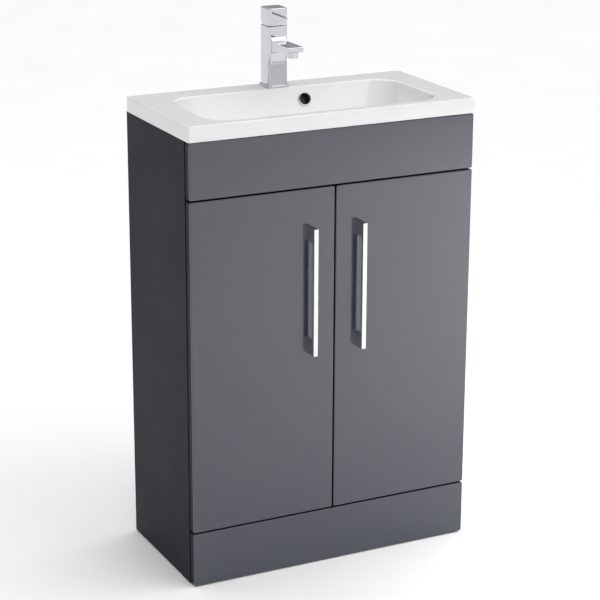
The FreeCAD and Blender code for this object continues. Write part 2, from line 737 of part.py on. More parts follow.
def bowl_solid(name, top, floor, high, low, corner, low_round):
    """A solid bowl shape: a tapering block with round corners and a round bottom edge."""
    owner = body(name)
    block = frustum(owner, name + "_loft", "Additive", top, floor, high, low)
    block = fillet(owner, block, name + "_corners", corner, corner_lines(top, floor))
    fillet(owner, block, name + "_round", low_round, lambda m, way: m.z < number(low) + 0.1)
    return owner


def basin():
    """A slim basin: a level slab with one sloping bowl that hangs below it."""
    slab = board("basin_slab", (-SIDE, FACE, CABINET_TOP), (SIDE, BACK, S.height), RIM_ROUND,
                 lambda m, way: abs(way.z) > 0.9 or m.z > number(S.height) - 0.1)
    lean = S.bowl_slope / S.bowl_deep
    brim = (-S.bowl_half, S.bowl_half, S.bowl_front, S.bowl_back)
    floor = grown(brim, -S.bowl_slope)
    over = Size(5, "5")
    inside = bowl_solid("bowl_space", grown(brim, lean * over), floor, S.height + over, FLOOR,
                        S.bowl_corner, 24)
    sunk = S.rim / 2
    outside = bowl_solid("bowl_shell", grown(brim, S.bowl_wall - lean * sunk), grown(floor, S.bowl_wall),
                         S.height - sunk, UNDERSIDE, S.bowl_corner + 6, 28)
    tap_hole = rod("tap_hole", S.tap_hole_r, (0, S.tap_y, CABINET_TOP - 1), S.rim + 2)
    waste_hole = rod("waste_hole", S.waste_r + 1.05, (0, S.waste_y, UNDERSIDE - 1), S.bowl_wall + 2)
    passage = leaning_rod("overflow_passage", OVERFLOW_SLEEVE_R, -S.bowl_wall - 9, S.bowl_wall + 12)
    solid = cut("basin_solid", fuse("basin_mass", [slab, outside]), [inside, tap_hole, waste_hole, passage])
    doc.recompute()
    rim = doc.addObject("Part::Fillet", "basin_rim_round")
    rim.Base = solid
    reach = (S.bowl_front - 5, S.bowl_back + 2)
    names = edges_where(solid, level_at(S.height, S.bowl_half + 5, reach))
    rim.Edges = [(int(name[4:]), BOWL_RIM_ROUND, BOWL_RIM_ROUND) for name in names]
    return settle(rim)


LEAN_TEXT = "atan(Dims.bowl_slope / Dims.bowl_deep)"
LEAN_VALUE = math.atan2(DIMENSIONS["bowl_slope"], DIMENSIONS["bowl_deep"])
LEAN_COS = Size(math.cos(LEAN_VALUE), f"cos({LEAN_TEXT})")
LEAN_SIN = Size(math.sin(LEAN_VALUE), f"sin({LEAN_TEXT})")


def leaning_rod(name, radius, out, length):
    """A cylinder square to the bowl's sloping back wall; out is how far its start stands off it."""
    made = doc.addObject("Part::Cylinder", name)
    made.Placement = FreeCAD.Placement(Vector(), FreeCAD.Rotation(Vector(1, 0, 0), 1))
    bind(made, "Placement.Rotation.Angle", Size(90 - math.degrees(LEAN_VALUE), f"90 deg - {LEAN_TEXT}"))
    bind(made, "Radius", radius)
    bind(made, "Height", length)
    wall_y = S.bowl_back - S.bowl_slope * S.overflow_down / S.bowl_deep
    bind(made, "Placement.Base.x", S.overflow_x)
    bind(made, "Placement.Base.y", wall_y - LEAN_COS * out)
    bind(made, "Placement.Base.z", S.height - S.overflow_down + LEAN_SIN * out)
    return made


def hollow_rod(name, outer, inner, z, length, x=0, y=0):
    whole = rod(name + "_outside", outer, (x, y, z), length)
    return cut(name, whole, [rod(name + "_inside", inner, (x, y, z - 1), length + 2)])


def basin_and_waste():
    sleeve = leaning_rod("overflow_sleeve", OVERFLOW_SLEEVE_R, -S.bowl_wall - 3, S.bowl_wall + 3)
    flange = leaning_rod("overflow_flange", S.overflow_r, Size(0, "0"), 2.2)
    throat_r = OVERFLOW_SLEEVE_R - OVERFLOW_WALL
    throat = leaning_rod("overflow_throat", throat_r, -S.bowl_wall - 4, S.bowl_wall + 8)
    keep(cut("overflow_cut", fuse("overflow_solid", [sleeve, flange]), [throat]), "overflow_ring")
    keep(basin(), "basin")

    x, y = 0, S.waste_y
    tail = rod("waste_tube", S.waste_r, (x, y, FLOOR - S.waste_tail), S.waste_tail)
    lip = rod("waste_lip", S.waste_r + 12, (x, y, FLOOR), WASTE_LIP)
    tube_bore = rod("waste_bore", S.waste_r - WASTE_WALL, (x, y, FLOOR - S.waste_tail - 1), S.waste_tail + 5)
    relief = hollow_rod("waste_relief", S.waste_r + 1, S.waste_r - 1, WASTE_NUT_LOW - 1.5 * RELIEF, RELIEF,
                        x, y)
    tube = cut("waste_tube_hollow", fuse("waste_outside", [tail, lip]), [tube_bore, relief])
    bar_z = FLOOR - 30
    bridge = box("waste_bridge", (-S.waste_r + 2, y - 6, bar_z), (S.waste_r - 2, y + 6, bar_z + 12))
    guide = rod("waste_guide", PLUG_STEM_R + 0.05, (x, y, bar_z - 1), 14)
    keep(fuse("waste_fused", [tube, cut("waste_bar", bridge, [guide])]), "waste_body")
    stem = rod("plug_stem", PLUG_STEM_R, (x, y, FLOOR - 34), 38)
    disc = rod("plug_disc", S.waste_r + 8, (x, y, FLOOR + WASTE_LIP + 0.3), 4)
    keep(fuse("plug_fused", [stem, disc]), "waste_plug")
    keep(hollow_rod("waste_seal", S.waste_r + 12, S.waste_r + 0.1, UNDERSIDE - SEAL_THICK, SEAL_THICK, x, y),
         "waste_washer")
    nut = hexagon("waste_nut_outside", 2 * S.waste_r + 16, (x, y, WASTE_NUT_LOW), WASTE_NUT_TALL)
    nut_bore = rod("waste_nut_bore", S.waste_r + 0.05, (x, y, WASTE_NUT_LOW - 1), WASTE_NUT_TALL + 2)
    keep(cut("waste_nut_cut", nut, [nut_bore]), "waste_nut")


# ---------------------------------------------------------------- tap
TAP_FRONT = S.tap_y - S.column / 2
TAP_BASE = S.height + S.flange_tall
BODY_TOP = S.height + S.body_tall
HEAD_LOW = BODY_TOP + S.head_gap
PIVOT = HEAD_LOW + S.tilt_up
CORNER_R = 7
CARTRIDGE_R = 17
CARTRIDGE_TALL = 40
CARTRIDGE_BARREL = 34
INLET_X = 8.5
INLET_DEEP = 14
STUD_R = 4
STUD_LENGTH = 83
STUD_IN_BODY = 12
NECK = 5
NECK_PLAY = 1.2
HEAD_CUT_ANGLE = 25
HEAD_PIN_R = 1.5
LEVER_R = 2.6
LEVER_OUT = 36
LEVER_RISE = 20
AERATOR_R = 11.3
AERATOR_IN = 15
AERATOR_TALL = 11
CLAMP_R = 19
CLAMP_THICK = 3
STUD_NUT = 13
STUD_NUT_TALL = 7


def upright(middle, way):
    return abs(way.z) > 0.9


def square_block(name, side, low, high, corner, top_round):
    """An upright square block about the tap's axis, with round corners and a round top edge."""
    owner = board_about_tap(name, side, low, high)
    solid = owner.Tip
    solid = fillet(owner, solid, name + "_corners", corner, upright)
    fillet(owner, solid, name + "_top", top_round, lambda m, way: m.z > number(high) - 0.1)
    return owner


def board_about_tap(name, side, low, high):
    owner = body(name)
    sketch = sketch_on(owner, name + "_outline", "XY_Plane", low)
    rectangle(sketch, -side / 2, side / 2, S.tap_y - side / 2, S.tap_y + side / 2)
    pad(owner, sketch, name + "_pad", high - low)
    return owner


def tap_body():
    """The column with its flat spout, bored for the cartridge, the inlets and the stud."""
    owner = board_about_tap("tap_column", S.column, TAP_BASE, BODY_TOP)
    column = fillet(owner, owner.Tip, "column_corners", CORNER_R, upright)
    column = fillet(owner, column, "column_top", 1, lambda m, way: m.z > number(BODY_TOP) - 0.1)
    top = S.height + S.spout_top
    tip = TAP_FRONT - S.spout_reach
    side = sketch_on(owner, "spout_side", "YZ_Plane")
    outline(side, [(TAP_FRONT + 9, top), (tip, top), (tip, top - 8), (tip + 7, top - 12),
                   (TAP_FRONT - 12, top - 16), (TAP_FRONT, top - 20), (TAP_FRONT + 9, top - 20)])
    spout = pad(owner, side, "spout", S.spout_wide, middle=True)

    def root(middle, way):
        return abs(way.x) > 0.9 and abs(middle.y - number(TAP_FRONT)) < 0.1 and middle.z > number(top) - 1

    fillet(owner, spout, "spout_root", 10, root)
    bore = sketch_on(owner, "cartridge_bore_outline", "XY_Plane", BODY_TOP)
    circle(bore, 0, S.tap_y, CARTRIDGE_R)
    pocket(owner, bore, "cartridge_bore", CARTRIDGE_TALL)
    inlets = [(hand * INLET_X, S.tap_y - 4) for hand in (-1, 1)]
    for name, places, radius in (("inlet", inlets, S.inlet_r), ("stud_socket", [(0, S.stud_y)], STUD_R)):
        holes = sketch_on(owner, name + "_outline", "XY_Plane", TAP_BASE)
        for x, y in places:
            circle(holes, x, y, radius)
        pocket(owner, holes, name, INLET_DEEP, reverse=True)
    return owner


def tap_head():
    """The lever head: a block cut away below its back edge, hollow round the spindle's neck."""
    owner = square_block("tap_head_block", S.column, HEAD_LOW, S.height + S.tap_tall, CORNER_R, 2)
    chamfer = sketch_on(owner, "head_chamfer_side", "YZ_Plane")
    start, end = S.tap_y + 3, S.tap_y + S.column / 2 + 1
    rise = (end - start) * math.tan(math.radians(HEAD_CUT_ANGLE))
    outline(chamfer, [(start, HEAD_LOW), (end, HEAD_LOW - 1), (end, HEAD_LOW + rise)])
    pocket(owner, chamfer, "head_chamfer")
    hollow = sketch_on(owner, "head_hollow_outline", "XY_Plane", HEAD_LOW)
    half = NECK + NECK_PLAY
    rectangle(hollow, -half, half, S.tap_y - NECK - 2.5, S.tap_y + NECK + 7)
    pocket(owner, hollow, "head_hollow", S.tilt_up + NECK + 3, reverse=True)
    return owner


def tap():
    keep(cut("ring_cut", square_block("tap_ring", S.flange, S.height, TAP_BASE, 9, 1.5),
             [rod("ring_bore", S.tap_hole_r, (0, S.tap_y, S.height - 1), S.flange_tall + 2)]),
         "tap_base_ring")
    tap_solid = tap_body()
    doc.recompute()
    aerator_y = TAP_FRONT - S.spout_reach + AERATOR_IN
    shell_z = S.height + S.spout_top - 2 * AERATOR_TALL
    aerator = rod("aerator_outside", AERATOR_R, (0, aerator_y, shell_z), AERATOR_TALL)
    mouth = rod("aerator_mouth", AERATOR_R - 2, (0, aerator_y, shell_z - 1), 5)
    shell = cut("aerator_shell", aerator, [mouth])
    keep(cut("aerator_fitted", shell, [tap_solid]), "spout_aerator")
    keep(tap_solid, "tap_body")
    cartridge = hollow_rod("cartridge", CARTRIDGE_R, S.spindle_r + 0.05, BODY_TOP - CARTRIDGE_TALL,
                           CARTRIDGE_TALL, 0, S.tap_y)
    keep(cartridge, "tap_cartridge")
    barrel = rod("spindle_barrel", S.spindle_r, (0, S.tap_y, BODY_TOP - CARTRIDGE_BARREL), CARTRIDGE_BARREL)
    neck = box("spindle_neck", (-NECK, S.tap_y - NECK, BODY_TOP - 2),
               (NECK, S.tap_y + NECK, PIVOT + NECK))
    pin_hole = rod_between("spindle_pin_hole", HEAD_PIN_R + 0.06, (S.tap_y, PIVOT),
                           -NECK - 1, NECK + 1, "x")
    keep(cut("spindle_cut", fuse("spindle_solid", [barrel, neck]), [pin_hole]), "tap_spindle")
    pin = rod_between("head_pin", HEAD_PIN_R, (S.tap_y, PIVOT), -15, 15, "x")
    lever_z = HEAD_LOW + LEVER_RISE
    lever_y = TAP_FRONT - LEVER_OUT
    stick = rod("lever_stick", LEVER_R, (0, lever_y, lever_z), LEVER_OUT + 7, "y")
    tip = doc.addObject("Part::Sphere", "lever_tip")
    tip.Radius = LEVER_R
    for letter, place in zip("xyz", (0, lever_y, lever_z)):
        bind(tip, f"Placement.Base.{letter}", place)
    lever = fuse("lever_fused", [stick, tip])
    keep(cut("head_cut", tap_head(), [pin, lever]), "tap_head")
    keep(pin, "tap_head_pin")
    keep(lever, "tap_lever")
    stud_low = TAP_BASE + STUD_IN_BODY - STUD_LENGTH
    keep(rod("stud_rod", STUD_R, (0, S.stud_y, stud_low), STUD_LENGTH), "tap_stud")
    washer_low = CABINET_TOP - CLAMP_THICK
    clamp = rod("clamp_disc", CLAMP_R, (0, S.tap_y, washer_low), CLAMP_THICK)
    slot = box("clamp_slot", (-15.5, S.tap_y - CLAMP_R - 1, washer_low - 1),
               (15.5, S.tap_y + 3, CABINET_TOP + 1))
    stud_hole = rod("clamp_hole", STUD_R + 0.3, (0, S.stud_y, washer_low - 1), CLAMP_THICK + 2)
    keep(cut("clamp_cut", clamp, [slot, stud_hole]), "tap_clamp_washer")
    nut_low = washer_low - STUD_NUT_TALL
    nut = hexagon("stud_nut_outside", STUD_NUT, (0, S.stud_y, nut_low), STUD_NUT_TALL)
    nut_bore = rod("stud_nut_bore", STUD_R + 0.05, (0, S.stud_y, nut_low - 1), STUD_NUT_TALL + 2)
    keep(cut("stud_nut_cut", nut, [nut_bore]), "tap_stud_nut")


carcass({"left": door(-1, "left"), "right": door(1, "right")})
basin_and_waste()
tap()

# ---------------------------------------------------------------- checks and export
doc.recompute()
for thing in doc.Objects:
    if "Invalid" in thing.State or "Error" in thing.State:
        raise RuntimeError(f"{thing.Name} failed: {thing.State}")
os.makedirs("parts", exist_ok=True)
for piece in pieces:
    shape = piece.Shape
    if shape.isNull() or not shape.isValid():
        raise RuntimeError(f"{piece.Label} has no valid shape")
    shape.exportStep(os.path.join("parts", piece.Label + ".step"))
    bound = shape.BoundBox
    print(f"{piece.Label:22s} solids {len(shape.Solids):2d} volume {shape.Volume:12.1f} "
          f"x {bound.XMin:7.1f} {bound.XMax:7.1f} y {bound.YMin:7.1f} {bound.YMax:7.1f} "
          f"z {bound.ZMin:7.1f} {bound.ZMax:7.1f}")
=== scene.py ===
import json
import math

import bmesh
import bpy
from mathutils import Matrix, Vector


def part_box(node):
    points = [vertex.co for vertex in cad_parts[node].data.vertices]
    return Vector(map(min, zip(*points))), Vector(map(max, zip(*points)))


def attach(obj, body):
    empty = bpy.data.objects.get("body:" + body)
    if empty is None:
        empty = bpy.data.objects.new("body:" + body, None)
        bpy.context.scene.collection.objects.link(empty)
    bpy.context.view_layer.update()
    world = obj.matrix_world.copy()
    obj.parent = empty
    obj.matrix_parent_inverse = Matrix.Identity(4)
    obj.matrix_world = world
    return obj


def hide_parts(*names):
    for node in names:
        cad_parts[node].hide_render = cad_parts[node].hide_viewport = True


# A floor-standing vanity cabinet: dark gloss doors, a slim white basin, a square chrome tap.
# Metres, +Z up, the doors face -Y. Every place comes from the boxes of the CAD nodes.

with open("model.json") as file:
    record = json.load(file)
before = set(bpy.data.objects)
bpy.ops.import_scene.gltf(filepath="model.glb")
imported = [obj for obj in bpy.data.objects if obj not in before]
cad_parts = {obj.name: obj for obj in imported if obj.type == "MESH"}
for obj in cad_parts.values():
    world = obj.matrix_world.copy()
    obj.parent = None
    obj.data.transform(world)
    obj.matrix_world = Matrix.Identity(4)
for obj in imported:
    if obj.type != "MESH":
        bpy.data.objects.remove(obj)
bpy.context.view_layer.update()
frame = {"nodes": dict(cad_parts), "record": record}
MM = 0.001
UP, BACKWARD = Vector((0, 0, 1)), Vector((0, 1, 0))
SHARP = math.radians(35)
NOISE_LOW, NOISE_HIGH = 0.3, 0.7
FINE_RELIEF = 0.1 * MM
# the fascia ends this far below the basin, and the doors this far inside the outer faces of the sides
REVEAL = 1 * MM


# ---------------------------------------------------------------- materials
def shader(name, **settings):
    """A new material and its Principled shader with the given constant settings."""
    made = bpy.data.materials.new(name)
    made.use_nodes = True
    principled = made.node_tree.nodes["Principled BSDF"]
    for key, value in settings.items():
        principled.inputs[key.replace("_", " ")].default_value = value
    return made, principled


def noise(made, scale, detail=3.0, stretch=(1, 1, 1)):
    """A noise texture in the object's own space; scale is in waves per metre."""
    nodes, links = made.node_tree.nodes, made.node_tree.links
    place = nodes.new("ShaderNodeTexCoord")
    mapping = nodes.new("ShaderNodeMapping")
    mapping.inputs["Scale"].default_value = stretch
    texture = nodes.new("ShaderNodeTexNoise")
    texture.inputs["Scale"].default_value = scale
    texture.inputs["Detail"].default_value = detail
    links.new(place.outputs["Object"], mapping.inputs["Vector"])
    links.new(mapping.outputs["Vector"], texture.inputs["Vector"])
    return texture.outputs["Fac"]


def vary(made, principled, socket, factor, low, high):
    """Lets a shader socket vary between two values with a texture."""
    links = made.node_tree.links
    ranged = made.node_tree.nodes.new("ShaderNodeMapRange")
    ranged.inputs["From Min"].default_value = NOISE_LOW
    ranged.inputs["From Max"].default_value = NOISE_HIGH
    ranged.inputs["To Min"].default_value = low
    ranged.inputs["To Max"].default_value = high
    links.new(factor, ranged.inputs["Value"])
    links.new(ranged.outputs["Result"], principled.inputs[socket])


def tint(made, principled, factor, dark, light):
    """Lets the base colour vary between two colours with a texture."""
    nodes, links = made.node_tree.nodes, made.node_tree.links
    ramp = nodes.new("ShaderNodeValToRGB")
    ramp.color_ramp.elements[0].position = NOISE_LOW
    ramp.color_ramp.elements[1].position = NOISE_HIGH
    ramp.color_ramp.elements[0].color = (*dark, 1)
    ramp.color_ramp.elements[1].color = (*light, 1)
    links.new(factor, ramp.inputs["Fac"])
    links.new(ramp.outputs["Color"], principled.inputs["Base Color"])


def bump(made, principled, height, strength, depth, socket="Normal"):
    """Lets a texture raise and lower the surface by the given depth in metres."""
    nodes, links = made.node_tree.nodes, made.node_tree.links
    relief = nodes.new("ShaderNodeBump")
    relief.inputs["Strength"].default_value = strength
    relief.inputs["Distance"].default_value = depth
    links.new(height, relief.inputs["Height"])
    links.new(relief.outputs["Normal"], principled.inputs[socket])


def gloss_lacquer():
    """Sprayed high-gloss lacquer: a dark grey ground under a clear coat with faint orange peel."""
    made, principled = shader("gloss_lacquer", Roughness=0.35, Specular_IOR_Level=0.1,
                              Coat_Weight=1.0, Coat_Roughness=0.03, Coat_IOR=1.75)
    tint(made, principled, noise(made, 900, 2), (0.022, 0.027, 0.044), (0.026, 0.031, 0.049))
    vary(made, principled, "Roughness", noise(made, 6), 0.28, 0.4)
    bump(made, principled, noise(made, 190, 1), 0.05, FINE_RELIEF, "Coat Normal")
    return made


def painted_shade_lacquer():
    """The sides' lacquer: the fronts' grey made darker, as painted shade for sides that stand out of the
    light, and matt. The low index keeps a glancing view from mirroring.
    """
    made, principled = shader("painted_shade_lacquer", IOR=1.1)
    # painted shade: a darker tone than the fronts' lacquer, so the sides look shaded
    tint(made, principled, noise(made, 12, 2), (0.019, 0.021, 0.029), (0.022, 0.024, 0.032))
    vary(made, principled, "Roughness", noise(made, 8), 0.3, 0.4)
    bump(made, principled, noise(made, 220, 1), 0.02, FINE_RELIEF)
    return made


def carcass_board():
    """Melamine-faced board: satin grey with a fine pressed grain."""
    made, principled = shader("carcass_board", Specular_IOR_Level=0.4)
    grain = noise(made, 260, 4, (1, 1, 0.12))
    tint(made, principled, grain, (0.080, 0.084, 0.095), (0.105, 0.110, 0.122))
    vary(made, principled, "Roughness", grain, 0.34, 0.5)
    bump(made, principled, grain, 0.12, 2 * FINE_RELIEF)
    return made


def basin_glaze():
    """White sanitary glaze: bright, wet-looking, with a very slight waviness."""
    made, principled = shader("basin_glaze", Specular_IOR_Level=0.5, Coat_Weight=0.6,
                              Coat_Roughness=0.03)
    tint(made, principled, noise(made, 14, 2), (0.80, 0.805, 0.805), (0.84, 0.84, 0.835))
    vary(made, principled, "Roughness", noise(made, 22), 0.07, 0.13)
    bump(made, principled, noise(made, 24, 1), 0.05, 4 * FINE_RELIEF)
    return made


def chrome():
    """Bright chrome plate with faint wiping marks."""
    made, principled = shader("chrome", Metallic=1.0)
    wipe = noise(made, 70, 5, (1, 1, 3))
    tint(made, principled, wipe, (0.60, 0.61, 0.63), (0.66, 0.67, 0.69))
    vary(made, principled, "Roughness", wipe, 0.025, 0.07)
    bump(made, principled, noise(made, 120, 1), 0.02, FINE_RELIEF)
    return made


def nickel_steel():
    """Nickel-plated steel, finely brushed along Z."""
    made, principled = shader("nickel_steel", Metallic=1.0)
    brushed = noise(made, 500, 4, (1, 1, 0.05))
    tint(made, principled, brushed, (0.50, 0.49, 0.47), (0.64, 0.63, 0.61))
    vary(made, principled, "Roughness", brushed, 0.22, 0.38)
    bump(made, principled, brushed, 0.15, FINE_RELIEF)
    return made


def brass():
    """Turned brass."""
    made, principled = shader("brass", Metallic=1.0)
    turned = noise(made, 400, 3, (0.2, 0.2, 1))
    tint(made, principled, turned, (0.60, 0.42, 0.18), (0.76, 0.56, 0.27))
    vary(made, principled, "Roughness", turned, 0.2, 0.36)
    bump(made, principled, turned, 0.15, FINE_RELIEF)
    return made


def moulded(name, dark, light, low, high):
    """A moulded plastic or rubber with a fine spark-eroded grain."""
    made, principled = shader(name)
    grain = noise(made, 1400, 3)
    tint(made, principled, grain, dark, light)
    vary(made, principled, "Roughness", grain, low, high)
    bump(made, principled, grain, 0.25, FINE_RELIEF)
    return made


MATERIALS = {
    "gloss_lacquer": gloss_lacquer(),
    "painted_shade_lacquer": painted_shade_lacquer(),
    "carcass_board": carcass_board(),
    "basin_glaze": basin_glaze(),
    "chrome": chrome(),
    "nickel_steel": nickel_steel(),
    "brass": brass(),
    "black_plastic": moulded("black_plastic", (0.012, 0.012, 0.013), (0.024, 0.024, 0.026), 0.4, 0.55),
    "clear_rubber": moulded("clear_rubber", (0.50, 0.50, 0.48), (0.60, 0.60, 0.58), 0.3, 0.45),
    "seal_rubber": moulded("seal_rubber", (0.030, 0.030, 0.030), (0.045, 0.045, 0.045), 0.6, 0.8),
}


# ---------------------------------------------------------------- dressing of the CAD nodes
for subpart in frame["record"]["subparts"]:
    node = frame["nodes"][subpart["node"]]
    node.data.materials.clear()
    # the side panels wear the darker lacquer, which paints shade on them
    finish = "painted_shade_lacquer" if subpart["node"].endswith("side_panel") else subpart["material_slot"]
    node.data.materials.append(MATERIALS[finish])


# ---------------------------------------------------------------- mesh helpers
BEVEL_STEPS, BEVEL_ANGLE = 4, math.radians(30)
BLOCK_STEPS = 6


def mesh_object(name, made, slot, body, replaced=(), bevel=0):
    """Turns a bmesh into a piece that rides on a body and wears its slot's material."""
    bmesh.ops.recalc_face_normals(made, faces=made.faces)
    mesh = bpy.data.meshes.new(name)
    made.to_mesh(mesh)
    made.free()
    for polygon in mesh.polygons:
        polygon.use_smooth = True
    mesh.set_sharp_from_angle(angle=SHARP)
    mesh.materials.append(MATERIALS[slot])
    piece = bpy.data.objects.new(name, mesh)
    bpy.context.scene.collection.objects.link(piece)
    if bevel:
        rounding = piece.modifiers.new("edge_rounding", "BEVEL")
        rounding.width = bevel
        rounding.segments = BEVEL_STEPS
        rounding.limit_method = "ANGLE"
        rounding.angle_limit = BEVEL_ANGLE
    weighted = piece.modifiers.new("even_shading", "WEIGHTED_NORMAL")
    weighted.keep_sharp = True
    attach(piece, body)
    if replaced:
        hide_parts(*replaced)
    return piece


def round_rectangle(x0, x1, y0, y1, radius, steps=10):
    """The outline of a rectangle with round corners, anticlockwise, as (x, y) pairs."""
    corners = [(x1 - radius, y0 + radius, -90), (x1 - radius, y1 - radius, 0),
               (x0 + radius, y1 - radius, 90), (x0 + radius, y0 + radius, 180)]
    points = []
    for cx, cy, start in corners:
        for i in range(steps + 1):
            turn = math.radians(start + 90 * i / steps)
            points.append((cx + radius * math.cos(turn), cy + radius * math.sin(turn)))
    return points


def loft(made, rings, closed=False):
    """Skins rings of equal length; closed joins the last ring to the first, else the ends are filled."""
    rows = [[made.verts.new(point) for point in ring] for ring in rings]
    count = len(rows[0])
    pairs = list(zip(rows, rows[1:]))
    if closed:
        pairs.append((rows[-1], rows[0]))
    for low, high in pairs:
        for i in range(count):
            j = (i + 1) % count
            made.faces.new((low[i], low[j], high[j], high[i]))
    if not closed:
        made.faces.new(rows[0])
        made.faces.new(rows[-1])
    return rows


def raised(outline, z):
    """The flat outline as points at one height."""
    return [(x, y, z) for x, y in outline]


def ring_of(cx, cy, radius, z, count=64):
    """The points of a level circle."""
    turns = [2 * math.pi * i / count for i in range(count)]
    return [(cx + radius * math.cos(t), cy + radius * math.sin(t), z) for t in turns]


def lathe(made, cx, cy, profile, closed=False, count=64):
    """A turned piece about an upright axis from (radius, z) pairs."""
    loft(made, [ring_of(cx, cy, radius, z, count) for radius, z in profile], closed)


def arc(cx, cy, radius, start, end, steps):
    """Points (u, v) along a circular arc, angles in degrees."""
    turns = [math.radians(start + (end - start) * i / steps) for i in range(steps + 1)]
    return [(cx + radius * math.cos(t), cy + radius * math.sin(t)) for t in turns]


def prism_x(made, outline, x0, x1):
    """A prism along X from a closed (y, z) outline."""
    loft(made, [[(x, y, z) for y, z in outline] for x in (x0, x1)])


def rounded_block(made, x0, x1, y0, y1, z0, z1, corner, top, bottom):
    """An upright block with round corners and rounded top and bottom edges."""
    rings = []
    for radius, level, lower in ((bottom, z0, True), (top, z1, False)):
        centre = level + radius if lower else level - radius
        for i in range(BLOCK_STEPS + 1):
            turn = math.pi / 2 * i / BLOCK_STEPS
            if lower:
                inset, z = radius * (1 - math.sin(turn)), centre - radius * math.cos(turn)
            else:
                inset, z = radius * (1 - math.cos(turn)), centre + radius * math.sin(turn)
            outline = round_rectangle(x0 + inset, x1 - inset, y0 + inset, y1 - inset, corner - inset)
            rings.append(raised(outline, z))
    loft(made, rings)


# ---------------------------------------------------------------- camera, light and floor
EYE = Vector((-1.6695, -3.3363, 1.6982))
AZIMUTH, ELEVATION, ROLL = -0.4627, 0.3100, 0.0042
SENSOR, LENS = 36, 118.67
SKY_STRENGTH = 1.87
SKY_UP = (0.2, 0, 0.98)
SKY = [(0.0, (0.035, 0.035, 0.04)), (0.4, (0.27, 0.27, 0.28)), (1.0, (1.0, 1.0, 1.0))]
FLOOR_RADIUS = 26
SOFTBOXES = [
    # name, place, aim, width, height, power, turn about its axis
    ("key", (1.85, -1.75, 0.9), (1.85, -1.75, 0), 0.4, 3.5, 42, math.radians(28.7)),
    ("fill", (1.4, -3.0, 2.9), (0, 0, 0.8), 1.6, 1.6, 11, 0.0),
    ("rim", (-1.4, 2.8, 2.4), (0, 0, 0.9), 2.4, 2.0, 6, 0.0),
]


def camera():
    """A long lens from the front left and a little above, with no shift."""
    back = Vector((math.sin(AZIMUTH) * math.cos(ELEVATION), -math.cos(AZIMUTH) * math.cos(ELEVATION),
                   math.sin(ELEVATION)))
    right = (-back).cross(UP).normalized()
    up = right.cross(-back)
    leaned_right = right * math.cos(ROLL) + up * math.sin(ROLL)
    leaned_up = up * math.cos(ROLL) - right * math.sin(ROLL)
    data = bpy.data.cameras.new("camera")
    data.sensor_width = SENSOR
    data.lens = LENS
    made = bpy.data.objects.new("camera", data)
    axes = Matrix((leaned_right, leaned_up, back)).transposed().to_4x4()
    made.matrix_world = Matrix.Translation(EYE) @ axes
    bpy.context.scene.collection.objects.link(made)
    bpy.context.scene.camera = made


def softbox(name, place, aim, width, height, power, turn):
    """A rectangular area light, unseen itself, that points from its place at its aim."""
    data = bpy.data.lights.new(name, "AREA")
    data.shape = "RECTANGLE"
    data.size = width
    data.size_y = height
    data.energy = power
    made = bpy.data.objects.new(name, data)
    made.location = place
    made.rotation_euler = (Vector(place) - Vector(aim)).to_track_quat("Z", "Y").to_euler()
    made.rotation_euler.z += turn
    made.visible_camera = False
    bpy.context.scene.collection.objects.link(made)


def studio():
    """A pale floor under a sky that is bright overhead and a little to the right, with softboxes."""
    bpy.context.scene.view_settings.view_transform = "Standard"
    world = bpy.data.worlds.new("studio")
    bpy.context.scene.world = world
    world.use_nodes = True
    nodes, links = world.node_tree.nodes, world.node_tree.links
    place = nodes.new("ShaderNodeTexCoord")
    height = nodes.new("ShaderNodeVectorMath")
    height.operation = "DOT_PRODUCT"
    height.inputs[1].default_value = SKY_UP
    ramp = nodes.new("ShaderNodeValToRGB")
    stops = ramp.color_ramp.elements
    stops.new(SKY[1][0])
    for stop, (position, colour) in zip(stops, SKY):
        stop.position = position
        stop.color = (*colour, 1)
    links.new(place.outputs["Generated"], height.inputs[0])
    links.new(height.outputs["Value"], ramp.inputs["Fac"])
    links.new(ramp.outputs["Color"], nodes["Background"].inputs["Color"])
    nodes["Background"].inputs["Strength"].default_value = SKY_STRENGTH
    for each in SOFTBOXES:
        softbox(*each)

    made = bmesh.new()
    made.faces.new([made.verts.new(point) for point in ring_of(0, 0, FLOOR_RADIUS, 0, 96)])
    mesh = bpy.data.meshes.new("floor")
    made.to_mesh(mesh)
    made.free()
    ground, principled = shader("pale_floor", Specular_IOR_Level=0.15)
    tint(ground, principled, noise(ground, 3, 2), (0.86, 0.86, 0.86), (0.88, 0.88, 0.88))
    vary(ground, principled, "Roughness", noise(ground, 30), 0.75, 0.9)
    mesh.materials.append(ground)
    floor = bpy.data.objects.new("floor", mesh)
    bpy.context.scene.collection.objects.link(floor)


camera()
studio()


# ---------------------------------------------------------------- handles
GRIP_THICK, POST_TALL = 7 * MM, 28 * MM
INNER_BEND, OUTER_BEND, GRIP_EDGE = 6 * MM, 1.2 * MM, 0.7 * MM


def handle(word):
    """A flat bar bent from one piece: two posts into the door and the grip between them."""
    low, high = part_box(f"{word}_handle")
    back, front = high.y, low.y
    outside = front + OUTER_BEND
    inside = front + GRIP_THICK + INNER_BEND
    high_inside, low_inside = high.z - POST_TALL - INNER_BEND, low.z + POST_TALL + INNER_BEND
    outline = [(back, low.z)]
    outline += arc(outside, low.z + OUTER_BEND, OUTER_BEND, 270, 180, 4)
    outline += arc(outside, high.z - OUTER_BEND, OUTER_BEND, 180, 90, 4)
    outline += [(back, high.z), (back, high.z - POST_TALL)]
    outline += arc(inside, high_inside, INNER_BEND, 90, 180, 10)
    outline += arc(inside, low_inside, INNER_BEND, 180, 270, 10)
    outline += [(back, low.z + POST_TALL)]
    made = bmesh.new()
    prism_x(made, outline, low.x, high.x)
    mesh_object(f"{word}_pull_bar", made, "chrome", f"{word}_door_leaf", [f"{word}_handle"], GRIP_EDGE)


for word in ("left", "right"):
    handle(word)


# ---------------------------------------------------------------- drilling
TOOL_SEGMENTS = 64


